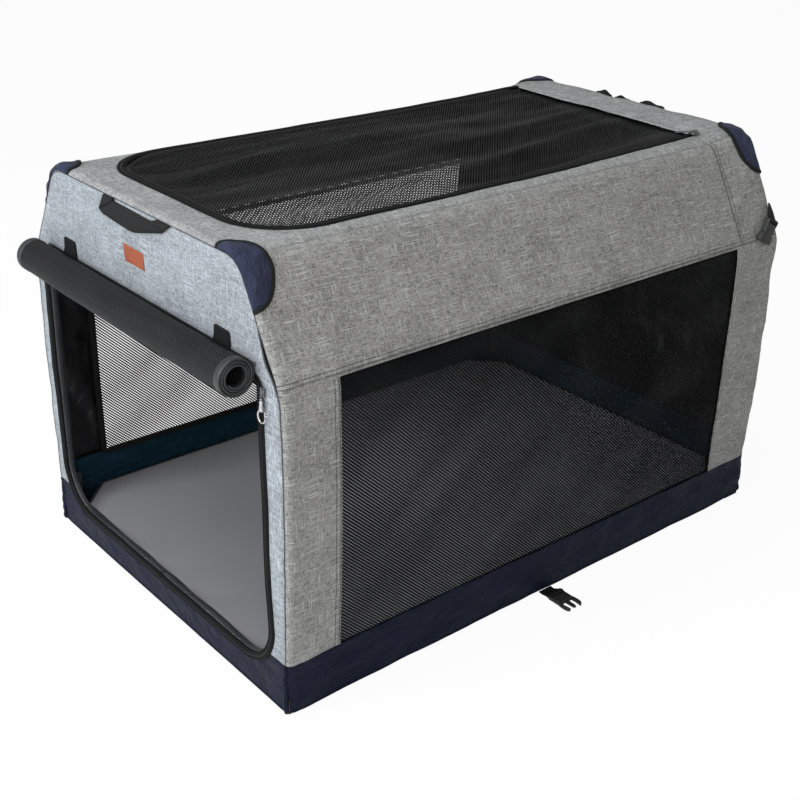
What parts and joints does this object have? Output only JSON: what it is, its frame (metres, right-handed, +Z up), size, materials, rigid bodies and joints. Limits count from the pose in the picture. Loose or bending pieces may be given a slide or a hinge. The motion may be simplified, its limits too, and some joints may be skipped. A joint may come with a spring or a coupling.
{
  "type": "folding dog crate",
  "caption": "Soft-sided folding dog crate on hinged tube arches, with mesh windows, a rolled-up door, a mesh roof flap, carry handles and a floor mat.",
  "frame": {"origin": "on the floor, midway between the long sides and between the front and rear cloth", "axes": "+Z up, -Y towards the door end, +X to the crate's right (the long side the picture shows)"},
  "size_m": [0.7312, 0.9672, 0.5943],
  "materials": {
    "front_cloth": "pale bluish heather weave",
    "side_cloth": "warm grey heather weave",
    "navy_cloth": "crumpled coated nylon",
    "black_mesh": "fine dotted mesh",
    "black_webbing": "ribbed webbing",
    "mat_cloth": "matt padded cloth",
    "label_leather": "smooth, left bare",
    "steel_tube": "black powder coat",
    "black_plastic": "moulded",
    "chrome": "plated"
  },
  "bodies": {
    "base": {"band_front": "navy_cloth", "band_left": "navy_cloth", "band_rear": "navy_cloth", "band_right": "navy_cloth", "base_cross_tube_front": "steel_tube", "base_cross_tube_rear": "steel_tube", "base_side_tube_left": "steel_tube", "base_side_tube_right": "steel_tube", "corner_bracket_front_left": "black_plastic", "corner_bracket_front_right": "black_plastic", "corner_bracket_rear_left": "black_plastic", "corner_bracket_rear_right": "black_plastic", "corner_patch_front_left": "navy_cloth", "corner_patch_front_right": "navy_cloth", "corner_patch_rear_left": "navy_cloth", "corner_patch_rear_right": "navy_cloth", "door_zip_lower": "black_webbing", "floor_mat": "mat_cloth", "floor_panel": "navy_cloth", "rear_header": "front_cloth", "roof_panel": "front_cloth", "roof_zip": "black_webbing", "shoulder_left": "side_cloth", "shoulder_right": "side_cloth", "side_strip_front_left": "side_cloth", "side_strip_front_right": "side_cloth", "side_strip_rear_left": "side_cloth", "side_strip_rear_right": "side_cloth", "window_mesh_left": "black_mesh", "window_mesh_right": "black_mesh"},
    "front_arch": {"front_leg_left": "steel_tube", "front_leg_right": "steel_tube", "front_elbow_left": "black_plastic", "front_elbow_right": "black_plastic", "front_top_bar": "steel_tube", "front_panel": "front_cloth", "door_zip_upper": "black_webbing", "rolled_door": "black_mesh", "roll_tie_left": "black_webbing", "roll_tie_right": "black_webbing", "label_patch": "label_leather"},
    "rear_arch": {"rear_leg_left": "steel_tube", "rear_leg_right": "steel_tube", "rear_elbow_left": "black_plastic", "rear_elbow_right": "black_plastic", "rear_top_bar": "steel_tube", "rear_panel": "front_cloth", "buckle_tab_left": "black_webbing", "buckle_tab_right": "black_webbing"},
    "roof_flap": {"roof_mesh_flap": "black_mesh"},
    "roof_slider": {"roof_zip_slider": "black_plastic"},
    "door_slider": {"door_zip_slider": "black_plastic"},
    "snap": {"snap_hook": "chrome"},
    "snap_gate": {"snap_trigger": "chrome"},
    "handle_front": {"front_handle": "black_webbing"},
    "handle_rear": {"rear_handle": "black_webbing"},
    "female_left": {"female_buckle_left": "black_plastic"},
    "female_right": {"female_buckle_right": "black_plastic"},
    "male_left": {"male_buckle_left": "black_plastic"},
    "male_right": {"male_buckle_right": "black_plastic"}
  },
  "joints": [
    {"name": "front_arch_fold", "type": "hinge", "parent": "base", "child": "front_arch", "pos_m": [0, -0.4435, 0.0835], "axis": [-1, 0, 0], "range_deg": [0, 90]},
    {"name": "rear_arch_fold", "type": "hinge", "parent": "base", "child": "rear_arch", "pos_m": [0, 0.4435, 0.06], "axis": [1, 0, 0], "range_deg": [0, 90], "deforming": ["buckle_tab_left", "buckle_tab_right"]},
    {"name": "roof_flap_hinge", "type": "hinge", "parent": "base", "child": "roof_flap", "pos_m": [0, 0.385, 0.589], "axis": [1, 0, 0], "range_deg": [-120, 0]},
    {"name": "roof_zip_run", "type": "slide", "parent": "base", "child": "roof_slider", "axis": [0, 1, 0], "range_m": [-0.66, 0]},
    {"name": "door_zip_run", "type": "slide", "parent": "front_arch", "child": "door_slider", "axis": [0, 0, -1], "range_m": [0, 0.3]},
    {"name": "snap_swing", "type": "hinge", "parent": "door_slider", "child": "snap", "pos_m": [0.275, -0.4593, 0.4306], "axis": [0, 1, 0], "range_deg": [-60, 60]},
    {"name": "snap_trigger_slide", "type": "slide", "parent": "snap", "child": "snap_gate", "axis": [0, 0, 1], "range_m": [0, 0.005], "stiffness_N_per_m": 60, "springref_m": -0.003},
    {"name": "front_handle_lift", "type": "hinge", "parent": "front_arch", "child": "handle_front", "pos_m": [0, -0.4572, 0.5835], "axis": [-1, 0, 0], "range_deg": [0, 175]},
    {"name": "rear_handle_lift", "type": "hinge", "parent": "base", "child": "handle_rear", "pos_m": [0, 0.4572, 0.5835], "axis": [-1, 0, 0], "range_deg": [-175, 0]},
    {"name": "female_buckle_left_swing", "type": "hinge", "parent": "rear_arch", "child": "female_left", "pos_m": [-0.30635, 0.42479, 0.48158], "axis": [0, 0.8829, -0.4695], "range_deg": [0, 90]},
    {"name": "female_buckle_right_swing", "type": "hinge", "parent": "rear_arch", "child": "female_right", "pos_m": [0.30635, 0.42479, 0.48158], "axis": [0, -0.8829, 0.4695], "range_deg": [0, 90]},
    {"name": "male_buckle_left_lift", "type": "hinge", "parent": "base", "child": "male_left", "pos_m": [-0.30635, 0, 0.00105], "axis": [0, -1, 0], "range_deg": [-70, 0]},
    {"name": "male_buckle_right_lift", "type": "hinge", "parent": "base", "child": "male_right", "pos_m": [0.30635, 0, 0.00105], "axis": [0, 1, 0], "range_deg": [-70, 0]}
  ],
  "couplings": [
    {"joint": "rear_arch_fold", "follows": "front_arch_fold", "ratio": 1}
  ]
}
